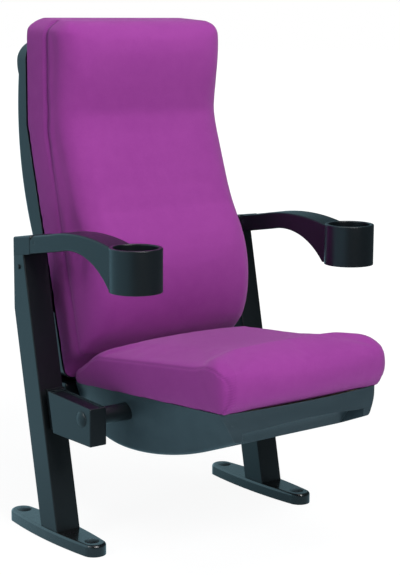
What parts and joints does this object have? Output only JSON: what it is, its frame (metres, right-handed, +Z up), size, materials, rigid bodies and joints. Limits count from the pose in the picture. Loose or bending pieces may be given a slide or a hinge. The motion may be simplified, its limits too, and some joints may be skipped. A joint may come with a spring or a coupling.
{
  "type": "tip up auditorium seat",
  "caption": "Upholstered tip-up auditorium chair with high contoured back, boat-shaped seat pan, leaning floor stanchions and lift-up armrests ending in cup holders.",
  "frame": {"origin": "centre of the floor anchor holes, on the floor plane", "axes": "+Z up, the sitter faces -Y, +X to the sitter's left"},
  "size_m": [0.662, 0.7357, 1.076],
  "materials": {
    "fabric": "woven purple upholstery cloth over moulded foam",
    "black_plastic": "fine grained black moulding",
    "black_steel": "black textured powder coat",
    "cast_foot": "black powder coat over casting",
    "zinc_steel": "bright zinc plate",
    "spring_steel": "oiled dark spring wire",
    "nylon": "natural nylon",
    "rubber": "black rubber",
    "plywood": "unfinished plywood"
  },
  "bodies": {
    "frame": {"back_board": "plywood", "back_bolts": "zinc_steel", "back_cushion": "fabric", "back_frame": "black_steel", "back_shell": "black_plastic", "foot_plugs": "black_plastic", "left_arm_block": "black_plastic", "left_arm_hinge_pin": "zinc_steel", "left_back_bracket": "black_steel", "left_block_screws": "zinc_steel", "left_bracket_bolts": "zinc_steel", "left_bracket_cover": "black_plastic", "left_foot": "cast_foot", "left_pivot_bush": "nylon", "left_pivot_cap": "black_plastic", "left_return_spring": "spring_steel", "left_seat_bracket": "black_steel", "left_stanchion": "black_steel", "left_stop_buffers": "rubber", "right_arm_block": "black_plastic", "right_arm_hinge_pin": "zinc_steel", "right_back_bracket": "black_steel", "right_block_screws": "zinc_steel", "right_bracket_bolts": "zinc_steel", "right_bracket_cover": "black_plastic", "right_foot": "cast_foot", "right_pivot_bush": "nylon", "right_pivot_cap": "black_plastic", "right_return_spring": "spring_steel", "right_seat_bracket": "black_steel", "right_stanchion": "black_steel", "right_stop_buffers": "rubber", "shell_screws": "zinc_steel"},
    "seat": {"board_screws": "zinc_steel", "left_hub_sleeve": "black_steel", "left_pivot_shaft": "zinc_steel", "left_stop_lever": "black_steel", "pan_screws": "zinc_steel", "right_hub_sleeve": "black_steel", "right_pivot_shaft": "zinc_steel", "right_stop_lever": "black_steel", "seat_board": "plywood", "seat_cushion": "fabric", "seat_frame": "black_steel", "seat_pan": "black_plastic"},
    "arm_left": {"left_armrest": "black_plastic"},
    "arm_right": {"right_armrest": "black_plastic"}
  },
  "joints": [
    {"name": "seat_tip", "type": "hinge", "parent": "frame", "child": "seat", "pos_m": [0, -0.1323, 0.2857], "axis": [-1, 0, 0], "range_deg": [0, 57]},
    {"name": "arm_left_lift", "type": "hinge", "parent": "frame", "child": "arm_left", "pos_m": [0.279, 0.0322, 0.624], "axis": [-1, 0, 0], "range_deg": [0, 90]},
    {"name": "arm_right_lift", "type": "hinge", "parent": "frame", "child": "arm_right", "pos_m": [-0.279, 0.0322, 0.624], "axis": [-1, 0, 0], "range_deg": [0, 90]}
  ]
}
